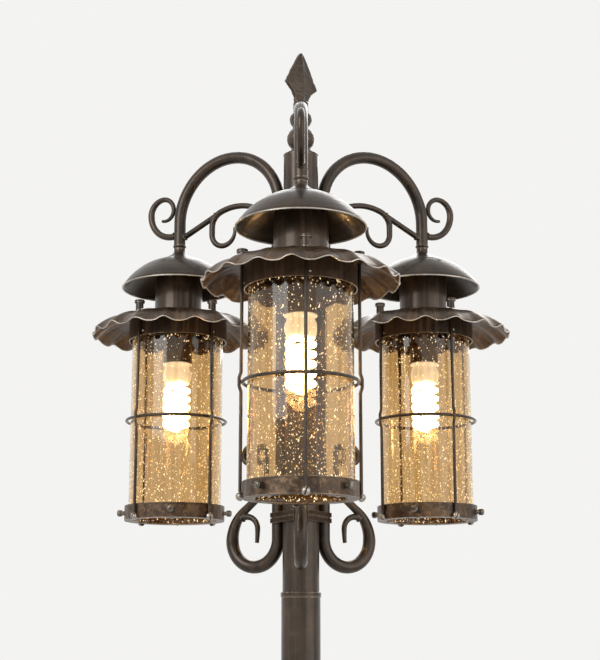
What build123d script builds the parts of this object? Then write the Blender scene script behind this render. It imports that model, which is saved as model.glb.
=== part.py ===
from build123d import *
from math import cos, radians, sin, sqrt
import os

os.makedirs("parts", exist_ok=True)

# Driving dimensions in mm. The origin is on the ground, on the axis of the post, and +Z is up.
lantern_height = 1800       # ground to the underside of each lantern's bottom band
lantern_reach = 240         # post axis to lantern axis
clear = 0.3                 # gap between pieces that are only laid or soldered together
running = 0.05              # radial clearance of a turning or sliding fit

# Where each arm points, and how its lantern is turned, in degrees.
arm_azimuth = {"front": -90, "left": 150, "right": 30}
lantern_turn = {"front": 4.5, "left": 46, "right": 27}

# Post
post_radius = 28.5
post_wall = 3
post_top = 588              # these heights are measured from the underside of the lanterns
slip_joint = -127
slip_depth = 90
pole_radius = 30.15
ring_height = 8
ring_radius = 31.2

# Base
base_radius = 140
base_thick = 14
hub_radius = 41
hub_height = 70
bolt_circle = 220           # pitch circle diameter
bolt_hole = 9
cable_hole = 22

# Arm: a swan neck tube that runs down beside the post and ends in a scroll
tube_radius = 10.2
tube_wall = 2.6
leg_reach = 41
arch_top = 610
tube_end = 470
scroll_level = -36
scroll_radius = 42.5
stud_radius = 5
nut_radius = 8.4
nut_height = 8

# Lantern, heights from the underside of its bottom band
band_radius = 82
band_height = 24
sheet = 1.5
flange_bore = 66
glass_radius = 76
glass_wall = 4
hoop_height = 165
hoop_radius = 82.2
wire_radius = 2.5
ceiling_height = 316        # the drum, crown, glass and lamp keep their distances from this ring
ceiling_bore = 61
drum_drop = 16
glass_drop = 8
crown_bore = 40.3
shoulder_radius = 97
shoulder_rise = 21.5
crown_rise = 18.5
rim_radius = 143
rim_drop = 28.5
wave_count = 18
wave_depth = 3.6
crown_sheet = 1.6
chimney_radius = 40
dome_radius = 96
dome_rim_height = 393.5
dome_sphere = 111.8
neck_radius = 11
neck_bottom = 458
neck_top = 464
neck_ring_radius = 12
bead_radius = 2.3
screw_height = 12.8
holder_radius = 25
holder_drop = 53
bulb_radius = 21.5
housing_length = 34
spiral_length = 82
spiral_tube = 5.2
spiral_turns = 5

drum_bottom = ceiling_height - drum_drop
glass_top = ceiling_height - glass_drop
shoulder_height = ceiling_height + shoulder_rise
crown_inner_height = shoulder_height + crown_rise
rim_height = shoulder_height - rim_drop
holder_bottom = ceiling_height - holder_drop
spiral_top = holder_bottom - housing_length
spiral_bottom = spiral_top - spiral_length
rod_radius_at = band_radius + wire_radius + clear
arch_radius = (lantern_reach - leg_reach) / 2
arch_level = arch_top - arch_radius
names = list(arm_azimuth)


def write(part, label):
    part.label = label
    export_step(part, f"parts/{label}.step")


def in_place(part, name):
    """A lantern's piece, moved from the lantern's own axis to its arm and turned."""
    angle = radians(arm_azimuth[name])
    spot = (lantern_reach * cos(angle), lantern_reach * sin(angle), lantern_height)
    return part.moved(Location(spot, (0, 0, lantern_turn[name])))


def on_arm(part, name):
    """A piece drawn in the plane of an arm, X outwards, moved to that arm."""
    return part.moved(Location((0, 0, lantern_height), (0, 0, arm_azimuth[name])))


def section_at(path, share, radius):
    """A round section square to a path, at a share of its length."""
    with BuildSketch(Plane(path @ share, z_dir=path % share)) as face:
        Circle(radius)
    return face.sketch


def tapered_bar(start, heading, runs):
    """Bar of round section along tangent runs in the XZ plane, tapering on each.

    A run is (length, turn, radius at its end): turn is in degrees, positive to the left, and a
    run with no turn is straight. The first item of runs is the radius at the start.
    """
    x, z = start
    radius = runs[0]
    bars = []
    for length, turn, end_radius in runs[1:]:
        way = radians(heading)
        if turn == 0:
            path = Line((x, 0, z), (x + length * cos(way), 0, z + length * sin(way)))
            x, z = x + length * cos(way), z + length * sin(way)
        else:
            side = 1 if turn > 0 else -1
            bend = length / radians(abs(turn))
            centre = (x - side * bend * sin(way), z + side * bend * cos(way))
            points = []
            for part_turn in (0, turn / 2, turn):
                now = radians(heading + part_turn)
                points.append((centre[0] + side * bend * sin(now), 0, centre[1] - side * bend * cos(now)))
            path = ThreePointArc(*points)
            x, z = points[2][0], points[2][2]
            heading += turn
        sections = [section_at(path, 0, radius), section_at(path, 1, end_radius)]
        bars.append(sweep(sections, path=path, multisection=True, mode=Mode.PRIVATE))
        radius = end_radius
    return bars, (x, z)


def arc_length(radius, turn):
    return radius * radians(abs(turn))


# ---- Base and lower pole -------------------------------------------------------------------

with BuildPart() as base_flange:
    with BuildSketch():
        Circle(base_radius)
        with PolarLocations(bolt_circle / 2, 4, start_angle=45):
            Circle(bolt_hole, mode=Mode.SUBTRACT)
        Circle(cable_hole, mode=Mode.SUBTRACT)
    extrude(amount=base_thick)
    rim = base_flange.faces().sort_by(Axis.Z)[-1].outer_wire().edges()
    chamfer(rim, 3)
    with BuildSketch(Plane.XY.offset(base_thick)):
        Circle(hub_radius)
        Circle(pole_radius + clear, mode=Mode.SUBTRACT)
    extrude(amount=hub_height - base_thick)
    hub_edge = base_flange.faces().sort_by(Axis.Z)[-1].outer_wire().edges()
    chamfer(hub_edge, 4)
    foot = base_flange.edges().filter_by(GeomType.CIRCLE).group_by(Axis.Z)[-3]
    fillet(foot.filter_by(lambda edge: abs(edge.radius - hub_radius) < 0.1), 8)
write(base_flange.part, "base_flange")

pole_top = lantern_height + slip_joint
with BuildPart() as lower_pole:
    with BuildSketch(Plane.XY.offset(base_thick + clear)):
        Circle(pole_radius)
        Circle(post_radius + running, mode=Mode.SUBTRACT)
    extrude(amount=pole_top - base_thick - clear)
    with BuildSketch(Plane.XY.offset(pole_top)):
        Circle(ring_radius)
        Circle(post_radius + running, mode=Mode.SUBTRACT)
    extrude(amount=ring_height)
    lips = lower_pole.edges().filter_by(GeomType.CIRCLE)
    chamfer(lips.filter_by(lambda edge: abs(edge.radius - ring_radius) < 0.1), 0.9)
write(lower_pole.part, "lower_pole")

# ---- Upper post, finial and collars ----------------------------------------------------------

with BuildPart() as upper_post:
    with BuildSketch(Plane.XY.offset(pole_top - slip_depth)):
        Circle(post_radius)
        Circle(post_radius - post_wall, mode=Mode.SUBTRACT)
    extrude(amount=post_top - slip_joint + slip_depth)
write(upper_post.part, "upper_post")

cap_height = 7
ball_radius = 23.3
ball_height = 618
bead_height = 653
bead_wide = 19
neck_wide = 13
blade_base = 681
blade_length = 90
blade_half = 35.5
blade_thick = 6.5           # half thickness on the middle ridge
blade_edge = 2.6            # half thickness of the cut edges
blade_turn = 43
blade_shape = (             # share of the length, share of the half width, share of the thickness
    (0, 0.38, 1.15), (0.10, 0.42, 1.1), (0.22, 0.60, 1.05), (0.345, 1, 1), (0.62, 0.64, 0.9), (0.84, 0.32, 0.8),
    (0.95, 0.165, 0.65), (1, 0.06, 0.45),
)

with BuildPart() as finial:
    with BuildSketch(Plane.XZ) as turned:
        with Locations((0, clear + 1)):
            Rectangle(post_radius - post_wall - clear, 17, align=(Align.MIN, Align.MAX))
        with BuildLine():
            Polyline((0, clear), (post_radius + 0.8, clear), (post_radius + 0.8, 2.2), (20, cap_height + 1),
                     (9, cap_height + 1), (9, 30), (0, 30), (0, clear))
        make_face()
    with BuildSketch(Plane.XZ):
        with Locations((0, ball_height - post_top)):
            Ellipse(ball_radius, ball_radius - 1.5)
        with Locations((0, bead_height - post_top)):
            Ellipse(bead_wide, 12.5)
        with Locations((0, ball_height - post_top + 10)):
            Rectangle(neck_wide * 2, blade_base + 2 - ball_height - 10, align=(Align.CENTER, Align.MIN))
        with Locations((0, 0)):
            Rectangle(200, 400, align=(Align.MAX, Align.CENTER), mode=Mode.SUBTRACT)
    revolve(axis=Axis.Z)
    for along, wide, thick in blade_shape:
        half, ridge, edge = wide * blade_half, thick * blade_thick, thick * blade_edge
        with BuildSketch(Plane.XY.offset(blade_base + along * blade_length - post_top)):
            with Locations(Rotation(0, 0, blade_turn)):
                Polygon((half, edge), (0, ridge), (-half, edge), (-half, -edge), (0, -ridge), (half, -edge),
                        align=None)
    loft(ruled=True)
finial_part = finial.part.moved(Location((0, 0, lantern_height + post_top)))
write(finial_part, "finial")

collar_point = 68
collar_reach = 52
collar_thick = 16
groove_deep = 1.2
groove_high = 1.6
notch_half = tube_radius + clear


def collar(label, level):
    """Three pointed clamping plate, with a notch at each point that takes the leg of an arm."""
    with BuildPart() as plate:
        with BuildSketch():
            RegularPolygon(collar_point, 3, rotation=-90)
            Circle(collar_reach, mode=Mode.INTERSECT)
            Circle(post_radius + clear, mode=Mode.SUBTRACT)
            for azimuth in arm_azimuth.values():
                with Locations(Rotation(0, 0, azimuth)):
                    with Locations((leg_reach, 0)):
                        Circle(notch_half, mode=Mode.SUBTRACT)
                        Rectangle(60, notch_half * 2, align=(Align.MIN, Align.CENTER), mode=Mode.SUBTRACT)
        extrude(amount=collar_thick)
        with BuildSketch(Plane.XY.offset((collar_thick - groove_high) / 2)):
            RegularPolygon(collar_point + 9, 3, rotation=-90)
            RegularPolygon(collar_point - 2 * groove_deep, 3, rotation=-90, mode=Mode.SUBTRACT)
        extrude(amount=groove_high, mode=Mode.SUBTRACT)
    write(plate.part.moved(Location((0, 0, lantern_height + level))), label)


collar("collar_lower", -12)
collar("collar_upper", 434)


# ---- Arms --------------------------------------------------------------------------------------

tube_path_end = (leg_reach, 0, scroll_level)
scroll_centre = leg_reach + scroll_radius

with BuildPart() as arm:
    with BuildLine(Plane.XZ) as swan:
        Line((lantern_reach, tube_end), (lantern_reach, arch_level))
        ThreePointArc((lantern_reach, arch_level), (leg_reach + arch_radius, arch_top), (leg_reach, arch_level))
        Line((leg_reach, arch_level), (leg_reach, scroll_level))
        ThreePointArc((leg_reach, scroll_level), (scroll_centre, scroll_level - scroll_radius),
                      (scroll_centre + scroll_radius, scroll_level))
    with BuildSketch(Plane.XY.offset(tube_end)):
        with Locations((lantern_reach, 0)):
            Circle(tube_radius)
            Circle(tube_radius - tube_wall, mode=Mode.SUBTRACT)
    sweep(path=swan.wire())
    with BuildSketch(Plane.XY.offset(tube_end)):
        with Locations((lantern_reach, 0)):
            Circle(tube_radius - tube_wall / 2)
    extrude(amount=14)
    rise, rise_end = tapered_bar(
        (scroll_centre + scroll_radius, scroll_level), 90,
        [tube_radius, (arc_length(60, 52), 52, 6.8), (20, 0, 6.3), (arc_length(35, 52), -52, 5.8),
         (46, 0, 5.6), (arc_length(16, 180), -180, 5), (arc_length(11, 150), -150, 4)],
    )
    tendril, tendril_end = tapered_bar(
        (109, -1.7), 150, [5.4, (arc_length(20, 120), 120, 4.2), (22, 6, 3.2)],
    )
    for bar in rise + tendril:
        add(bar)
    with BuildSketch(Plane.XY.offset(tube_end)):
        with Locations((lantern_reach, 0)):
            Circle(stud_radius)
    extrude(amount=neck_bottom - 6 - tube_end)
    with BuildSketch(Plane.XY.offset(neck_top - clear)):
        with Locations((lantern_reach, 0)):
            RegularPolygon(nut_radius, 6)
    extrude(amount=-nut_height)
print("arm", arm.part.volume, len(arm.part.solids()), rise_end, tendril_end)

curl_level = 488
with BuildPart() as outer_curl:
    curl, curl_end = tapered_bar(
        (lantern_reach + 2, curl_level), 0,
        [5.5, (14, 0, 5.7), (arc_length(45, 90), 90, 5.9), (arc_length(25, 90), 90, 4.6),
         (arc_length(22, 90), 90, 4), (arc_length(17.5, 110), 110, 2.6)],
    )
    for bar in curl:
        add(bar)
    with BuildSketch(Plane.XY.offset(tube_end)):
        with Locations((lantern_reach, 0)):
            Circle(tube_radius + 0.15)
    extrude(amount=arch_level - tube_end, mode=Mode.SUBTRACT)

brace_crest = (126, 522.5)
with BuildPart() as brace:
    over_leg = tapered_bar(brace_crest, 180, [5, (arc_length(90, 62), 62, 4.8)])[0]
    hook = tapered_bar(
        brace_crest, 0,
        [5, (arc_length(90, 20), -20, 5.1), (arc_length(25.4, 70), -70, 5.2), (13, 0, 5.1),
         (arc_length(23, 90), -90, 4.6), (arc_length(22.5, 105), -105, 2.6)],
    )[0]
    strut = tapered_bar((lantern_reach - 4, 481), 156, [4.9, (82, 0, 4.9)])[0]
    for bar in over_leg + hook + strut:
        add(bar)
    for centre in (lantern_reach, leg_reach):
        with BuildSketch(Plane.XY.offset(tube_end - 90)):
            with Locations((centre, 0)):
                Circle(tube_radius + 0.15)
        extrude(amount=arch_level - tube_end + 90, mode=Mode.SUBTRACT)
print("outer_curl", outer_curl.part.volume, len(outer_curl.part.solids()), curl_end)
print("brace", brace.part.volume, len(brace.part.solids()))

for name in names:
    write(on_arm(arm.part, name), f"arm_{name}")
    write(on_arm(outer_curl.part, name), f"outer_curl_{name}")
    write(on_arm(brace.part, name), f"brace_{name}")


# ---- One lantern, drawn on its own axis ----------------------------------------------------------

dome_centre = dome_rim_height - sqrt(dome_sphere**2 - dome_radius**2)
flare_radius = 30


def on_dome(radius, inset=0):
    """A point of the dome's outer skin, or of a skin that lies inside it."""
    return radius, dome_centre + sqrt((dome_sphere - inset) ** 2 - radius**2)


with BuildPart() as hood:
    with BuildSketch(Plane.XZ):
        with BuildLine():
            TangentArc((neck_radius, neck_bottom), on_dome(flare_radius), tangent=(0, -1))
            ThreePointArc(on_dome(flare_radius), on_dome(68), on_dome(dome_radius))
            Line(on_dome(dome_radius), on_dome(dome_radius - sheet, sheet))
            ThreePointArc(on_dome(dome_radius - sheet, sheet), on_dome(68, sheet), on_dome(flare_radius, sheet))
            TangentArc((neck_radius - sheet, neck_bottom), on_dome(flare_radius, sheet), tangent=(0, -1))
            Line((neck_radius - sheet, neck_bottom), (neck_radius, neck_bottom))
        make_face()
        with Locations((neck_radius - sheet, neck_bottom)):
            Rectangle(sheet, neck_top - neck_bottom, align=Align.MIN)
        with Locations((stud_radius + running, neck_top)):
            Rectangle(neck_ring_radius - stud_radius - running, tube_end - clear - neck_top, align=Align.MIN)
        with Locations((dome_radius - bead_radius / 2, dome_rim_height)):
            Circle(bead_radius)
    revolve(axis=Axis.Z)


def crown_line(radius):
    """Height of the crown's upper skin: a shallow dish, then a straight skirt."""
    if radius > shoulder_radius:
        share = (radius - shoulder_radius) / (rim_radius - shoulder_radius)
        return shoulder_height + share * (rim_height - shoulder_height)
    share = (radius - crown_bore) / (shoulder_radius - crown_bore)
    return crown_inner_height + share * (shoulder_height - crown_inner_height) + 10 * share * (1 - share)


half_wave = 180 / wave_count
skirt_slope = (shoulder_height - rim_height) / (rim_radius - shoulder_radius)
lift = wave_depth / sqrt(1 + skirt_slope**2)


def rim_point(turn):
    """A point of the fluted rim: the wave stands square to the skirt."""
    wave = lift * cos(radians(turn * wave_count))
    radius = rim_radius + wave * skirt_slope
    return radius * cos(radians(turn)), radius * sin(radians(turn)), rim_height + wave


def shoulder_point(turn):
    return shoulder_radius * cos(radians(turn)), shoulder_radius * sin(radians(turn)), shoulder_height


flute_edge = Spline(
    [rim_point(turn * half_wave / 2) for turn in (-2, -1, 0, 1, 2)],
    tangents=[(sin(radians(half_wave)), cos(radians(half_wave)), 0), (-sin(radians(half_wave)), cos(radians(half_wave)), 0)],
)
shoulder_edge = ThreePointArc(shoulder_point(-half_wave), shoulder_point(0), shoulder_point(half_wave))
flute_face = Face.make_surface_from_curves(shoulder_edge.edge(), flute_edge.edge())

with BuildPart() as flute:
    extrude(flute_face, amount=crown_sheet, dir=(0, 0, -1))

with BuildPart() as crown:
    with BuildSketch(Plane.XZ):
        with BuildLine():
            top = [(radius, crown_line(radius)) for radius in (crown_bore, (crown_bore + shoulder_radius) / 2, shoulder_radius)]
            ThreePointArc(*top)
            Line(top[2], (shoulder_radius, top[2][1] - crown_sheet))
            ThreePointArc(*[(radius, height - crown_sheet) for radius, height in reversed(top)])
            Line((crown_bore, top[0][1] - crown_sheet), top[0])
        make_face()
    revolve(axis=Axis.Z)
    with PolarLocations(0, wave_count):
        add(flute.part)
    with BuildSketch(Plane.XY.offset(crown_line(rod_radius_at))):
        with PolarLocations(rod_radius_at, 4):
            Circle(wire_radius + clear)
    extrude(amount=15, both=True, mode=Mode.SUBTRACT)
print("crown", crown.part.volume, len(crown.part.solids()), crown.part.is_valid)


def crown_cover(gap):
    """Solid filling everything from well under the crown up to a gap above its skin."""
    with BuildPart() as cover:
        with BuildSketch(Plane.XZ):
            with BuildLine():
                Line((crown_bore, rim_height - 40), (crown_bore, crown_line(crown_bore) + gap))
                ThreePointArc(*[(radius, crown_line(radius) + gap) for radius in
                                (crown_bore, (crown_bore + shoulder_radius) / 2, shoulder_radius)])
                Polyline((shoulder_radius, shoulder_height + gap), (shoulder_radius, rim_height - 40),
                         (crown_bore, rim_height - 40))
            make_face()
        revolve(axis=Axis.Z)
    return cover.part


knob_stem = 6.4
knob_head = 8.4
knob_head_height = 5
knob_rise = 15.8
knob_seat = crown_line(rod_radius_at)
knob_top = knob_seat + knob_rise

with BuildPart() as crown_nuts:
    with BuildSketch(Plane.XY.offset(knob_seat - 13)):
        with PolarLocations(rod_radius_at, 4):
            Circle(knob_stem)
    extrude(amount=13 + knob_rise - knob_head_height)
    with BuildSketch(Plane.XY.offset(knob_top - knob_head_height)):
        with PolarLocations(rod_radius_at, 4):
            Circle(knob_head)
    extrude(amount=knob_head_height)
    tops = crown_nuts.edges().group_by(Axis.Z)[-1]
    fillet(tops, 1.6)
    add(crown_cover(0.2), mode=Mode.SUBTRACT)
    with BuildSketch(Plane.XY.offset(knob_seat - 13)):
        with PolarLocations(rod_radius_at, 4):
            Circle(wire_radius + clear)
    extrude(amount=13 + knob_rise - knob_head_height - 1, mode=Mode.SUBTRACT)

vent_count = 8
vent_level = dome_rim_height + 20.5
chimney_top = dome_centre + sqrt((dome_sphere - sheet) ** 2 - chimney_radius**2) - clear

with BuildPart() as chimney:
    with BuildSketch(Plane.XY.offset(crown_inner_height - 6)):
        Circle(chimney_radius)
        Circle(chimney_radius - sheet, mode=Mode.SUBTRACT)
    extrude(amount=chimney_top - crown_inner_height + 6)
    for turn in range(vent_count):
        spin = turn * 360 / vent_count
        with BuildSketch(Plane((0, 0, vent_level), x_dir=(-sin(radians(spin)), cos(radians(spin)), 0),
                               z_dir=(cos(radians(spin)), sin(radians(spin)), 0))):
            SlotOverall(18, 8, rotation=0)
        extrude(amount=chimney_radius + 2, mode=Mode.SUBTRACT)

with BuildPart() as drum:
    with BuildSketch(Plane.XZ):
        with Locations((band_radius - sheet, drum_bottom)):
            Rectangle(sheet, crown_line(band_radius) - crown_sheet - 0.8 - drum_bottom, align=Align.MIN)
        with Locations((ceiling_bore, ceiling_height)):
            Rectangle(band_radius - sheet / 2 - ceiling_bore, sheet, align=Align.MIN)
    revolve(axis=Axis.Z)

kink = hoop_radius + 2 * wire_radius + clear - rod_radius_at
rod_bottom = 3
rod_top = knob_top - 7
screw_radius = 5.8
screw_reach = 6.7

with BuildPart() as cage_rod:
    with BuildLine(Plane.XZ) as rod_line:
        FilletPolyline(
            (rod_radius_at, rod_bottom), (rod_radius_at, hoop_height - 14), (rod_radius_at + kink, hoop_height - 6),
            (rod_radius_at + kink, hoop_height + 6), (rod_radius_at, hoop_height + 14), (rod_radius_at, rod_top),
            radius=12,
        )
    with BuildSketch(Plane.XY.offset(rod_bottom)):
        with Locations((rod_radius_at, 0)):
            Circle(wire_radius)
    sweep(path=rod_line.wire())
    with BuildSketch(Plane((band_radius + clear / 2, 0, rod_bottom), z_dir=(1, 0, 0))):
        Circle(screw_radius)
    extrude(amount=screw_reach)
    head = cage_rod.faces().sort_by(Axis.X)[-1].edges()
    fillet(head, 3)

with BuildPart() as cage:
    with PolarLocations(0, 4):
        add(cage_rod.part)
    with BuildSketch(Plane.XZ):
        with Locations((hoop_radius, hoop_height)):
            Circle(wire_radius)
    revolve(axis=Axis.Z)

shank_radius = 2.4
tab_wide = 30
tab_reach = 7

with BuildPart() as bottom_band:
    with BuildSketch(Plane.XZ):
        with Locations((band_radius - sheet, 0)):
            Rectangle(sheet, band_height, align=Align.MIN)
    revolve(axis=Axis.Z)
    with BuildSketch():
        Circle(band_radius - sheet - clear)
        Circle(flange_bore, mode=Mode.SUBTRACT)
        with PolarLocations(flange_bore + 1 - tab_reach / 2, 4, start_angle=45):
            Rectangle(tab_reach + 2, tab_wide)
        with PolarLocations(flange_bore, 4, start_angle=45):
            Circle(1.7, mode=Mode.SUBTRACT)
    extrude(amount=sheet)
    for turn in range(4):
        angle = radians(45 + 90 * turn)
        with BuildSketch(Plane((0, 0, screw_height), z_dir=(cos(angle), sin(angle), 0))):
            Circle(shank_radius + running)
        extrude(amount=band_radius + 5, mode=Mode.SUBTRACT)

with BuildPart() as glass:
    with BuildSketch(Plane.XY.offset(sheet + clear)):
        Circle(glass_radius)
        Circle(glass_radius - glass_wall, mode=Mode.SUBTRACT)
    extrude(amount=glass_top - sheet - clear)

screw_travel = 6
head_start = band_radius + clear
with BuildPart() as thumb_screw:
    with BuildSketch(Plane.XZ):
        with BuildLine():
            Polyline((glass_radius + clear, 0), (glass_radius + clear, shank_radius), (head_start, shank_radius),
                     (head_start, 3.6), (head_start + 3.4, 3.6), (head_start + 3.4, 5.2), (head_start + 9.4, 5.6),
                     (head_start + 11.3, 4.3), (head_start + 12, 2.2), (head_start + 12, 0),
                     (glass_radius + clear, 0))
        make_face()
    revolve(axis=Axis.X)

strap_wide = 12
strap_thick = 2.5
strap_level = crown_inner_height - 4
with BuildPart() as lampholder:
    with BuildSketch(Plane.XZ):
        with BuildLine():
            Polyline((0, holder_bottom), (holder_radius, holder_bottom), (holder_radius, holder_bottom + 3),
                     (holder_radius - 1.5, holder_bottom + 4), (holder_radius - 1.5, holder_bottom + 59),
                     (8, holder_bottom + 71), (6, holder_bottom + 73),
                     (6, strap_level + 1), (0, strap_level + 1), (0, holder_bottom))
        make_face()
    revolve(axis=Axis.Z)
    with BuildSketch(Plane.XY.offset(strap_level)):
        Rectangle(chimney_radius * 2, strap_wide)
        Circle(chimney_radius - sheet - clear, mode=Mode.INTERSECT)
    extrude(amount=strap_thick)

with BuildPart() as bulb_housing:
    with BuildSketch(Plane.XZ):
        with BuildLine():
            Polyline((0, holder_bottom - clear), (bulb_radius - 1, holder_bottom - clear), (bulb_radius - 1, holder_bottom - 6),
                     (bulb_radius, holder_bottom - 9), (bulb_radius + 2.5, spiral_top + 9),
                     (bulb_radius + 2.5, spiral_top + 1),
                     (0, spiral_top + 1), (0, holder_bottom - clear))
        make_face()
    revolve(axis=Axis.Z)

spiral_radius = 22.3
spiral_rise = spiral_top - spiral_bottom - 2 * spiral_tube
with BuildPart() as bulb_spiral:
    with BuildLine(Plane.XY.offset(spiral_bottom + spiral_tube)) as coil:
        Helix(spiral_rise / spiral_turns, spiral_rise, spiral_radius)
    with BuildSketch(Plane(coil.wire() @ 0, z_dir=coil.wire() % 0)):
        Circle(spiral_tube)
    sweep(path=coil.wire(), is_frenet=True)
    with BuildSketch(Plane.XY.offset(spiral_top - 7)):
        with Locations(coil.wire() @ 1):
            Circle(spiral_tube - 0.6)
    extrude(amount=7.7)

lantern_pieces = {
    "hood": hood, "crown": crown, "crown_nuts": crown_nuts, "chimney": chimney, "drum": drum, "cage": cage,
    "bottom_band": bottom_band, "glass": glass, "lampholder": lampholder, "bulb_housing": bulb_housing,
    "bulb_spiral": bulb_spiral,
}
for label, piece in lantern_pieces.items():
    print(label, round(piece.part.volume), len(piece.part.solids()), piece.part.is_valid)
    for name in names:
        write(in_place(piece.part, name), f"{label}_{name}")

for number in range(4):
    spin = Location((0, 0, screw_height), (0, 0, 45 + 90 * number))
    for name in names:
        write(in_place(thumb_screw.part.moved(spin), name), f"glass_screw_{number + 1}_{name}")
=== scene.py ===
import bpy, bmesh
from functools import partial
from math import atan2, cos, pi, radians, sin, sqrt
from mathutils import Matrix, Vector, noise


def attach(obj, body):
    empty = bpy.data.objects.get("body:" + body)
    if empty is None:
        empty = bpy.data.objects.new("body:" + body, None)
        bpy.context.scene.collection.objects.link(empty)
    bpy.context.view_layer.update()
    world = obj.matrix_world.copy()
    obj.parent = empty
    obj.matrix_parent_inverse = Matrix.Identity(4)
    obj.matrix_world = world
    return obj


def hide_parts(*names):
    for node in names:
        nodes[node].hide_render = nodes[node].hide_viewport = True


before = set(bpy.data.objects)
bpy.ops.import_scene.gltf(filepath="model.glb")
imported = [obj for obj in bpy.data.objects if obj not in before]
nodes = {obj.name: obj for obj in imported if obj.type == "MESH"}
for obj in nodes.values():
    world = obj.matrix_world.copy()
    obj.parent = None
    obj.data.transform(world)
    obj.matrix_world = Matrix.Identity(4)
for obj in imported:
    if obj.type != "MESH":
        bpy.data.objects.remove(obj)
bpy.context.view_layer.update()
scene = bpy.context.scene
scene.view_settings.view_transform = "Standard"
print("frame loaded:", len(nodes), "nodes")

# where each arm points and how its lantern is turned, in degrees
lanterns = {
    "front": {"azimuth": -90, "turn": 4.5, "seed": 3},
    "left": {"azimuth": 150, "turn": 46, "seed": 11},
    "right": {"azimuth": 30, "turn": 27, "seed": 23},
}
hang = {"reach": 0.240, "height": 1.800}


def lanternPlace(name):
    angle = radians(lanterns[name]["azimuth"])
    spot = Vector((hang["reach"] * cos(angle), hang["reach"] * sin(angle), hang["height"]))
    return Matrix.Translation(spot) @ Matrix.Rotation(radians(lanterns[name]["turn"]), 4, "Z")


def armPlace(name):
    turn = Matrix.Rotation(radians(lanterns[name]["azimuth"]), 4, "Z")
    return Matrix.Translation((0, 0, hang["height"])) @ turn


# the camera looks up from just under the lanterns; focal, longSide and aside are in pixels of the photograph
view = {"distance": 2.1887, "height": 1.6046, "pitch": 12.63, "focal": 1397.5, "longSide": 660, "aside": 0.9,
        "sensor": 36}
cameraData = bpy.data.cameras.new("camera")
cameraData.sensor_width = view["sensor"]
cameraData.lens = view["focal"] / view["longSide"] * view["sensor"]
cameraData.shift_x = -view["aside"] / view["longSide"]
cameraData.clip_start, cameraData.clip_end = 0.05, 100
camera = bpy.data.objects.new("camera", cameraData)
camera.location = (0, -view["distance"], view["height"])
camera.rotation_euler = (radians(90 + view["pitch"]), 0, 0)
scene.collection.objects.link(camera)
scene.camera = camera


# a value that is a node's output gets linked, any other value is set
def setInputs(tree, node, values):
    for key, value in values.items():
        if isinstance(value, bpy.types.NodeSocket):
            tree.links.new(value, node.inputs[key])
        else:
            node.inputs[key].default_value = value


def addNode(tree, kind, values=None, **settings):
    node = tree.nodes.new(kind)
    for key, value in settings.items():
        setattr(node, key, value)
    setInputs(tree, node, values or {})
    return node


def newMaterial(name):
    material = bpy.data.materials.new(name)
    material.use_nodes = True
    tree = material.node_tree
    return material, tree, tree.nodes["Principled BSDF"]


def objectVector(tree):
    return addNode(tree, "ShaderNodeTexCoord").outputs["Object"]


def mixColour(tree, factor, first, second):
    return addNode(tree, "ShaderNodeMix", {0: factor, 6: first, 7: second}, data_type="RGBA").outputs[2]


def mixShaders(tree, factor, first, second):
    return addNode(tree, "ShaderNodeMixShader", {0: factor, 1: first, 2: second}).outputs[0]


def doMath(tree, operation, *values, clamp=False):
    node = addNode(tree, "ShaderNodeMath", dict(enumerate(values)), operation=operation, use_clamp=clamp)
    return node.outputs[0]


def mathOf(tree, *operations):
    return [partial(doMath, tree, operation) for operation in operations]


def combine(tree, *values):
    return addNode(tree, "ShaderNodeCombineXYZ", dict(enumerate(values))).outputs[0]


def remap(tree, value, low, high, newLow=0.0, newHigh=1.0):
    return addNode(tree, "ShaderNodeMapRange", {0: value, 1: low, 2: high, 3: newLow, 4: newHigh}).outputs[0]


def stretched(tree, vector, scale):
    return addNode(tree, "ShaderNodeMapping", {"Vector": vector, "Scale": scale}).outputs["Vector"]


def noiseOf(tree, vector, scale, detail=4, rough=0.55, warp=0.0):
    return addNode(tree, "ShaderNodeTexNoise", {"Vector": vector, "Scale": scale, "Detail": detail,
                                                "Roughness": rough, "Distortion": warp}).outputs[0]


studio = {
    "backdrop": (0.90, 0.895, 0.88, 1), "soft": (1.0, 0.985, 0.96, 1), "softStrength": 0.55,
    "floorColour": (0.80, 0.79, 0.77, 1), "floorLift": 0.12, "floorRadius": 60, "floorSteps": 96,
    "floorHeight": -0.001, "fadeFrom": 1.5, "fadeTo": 8.0, "aim": (0, 0, 2.1),
    "lamps": (("keyLight", (-2.4, -2.6, 3.6), 2.4, 74), ("fillLight", (2.9, -2.0, 2.3), 3.2, 32),
              ("rimLight", (0.6, 2.8, 3.8), 2.4, 46)),
}


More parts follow.
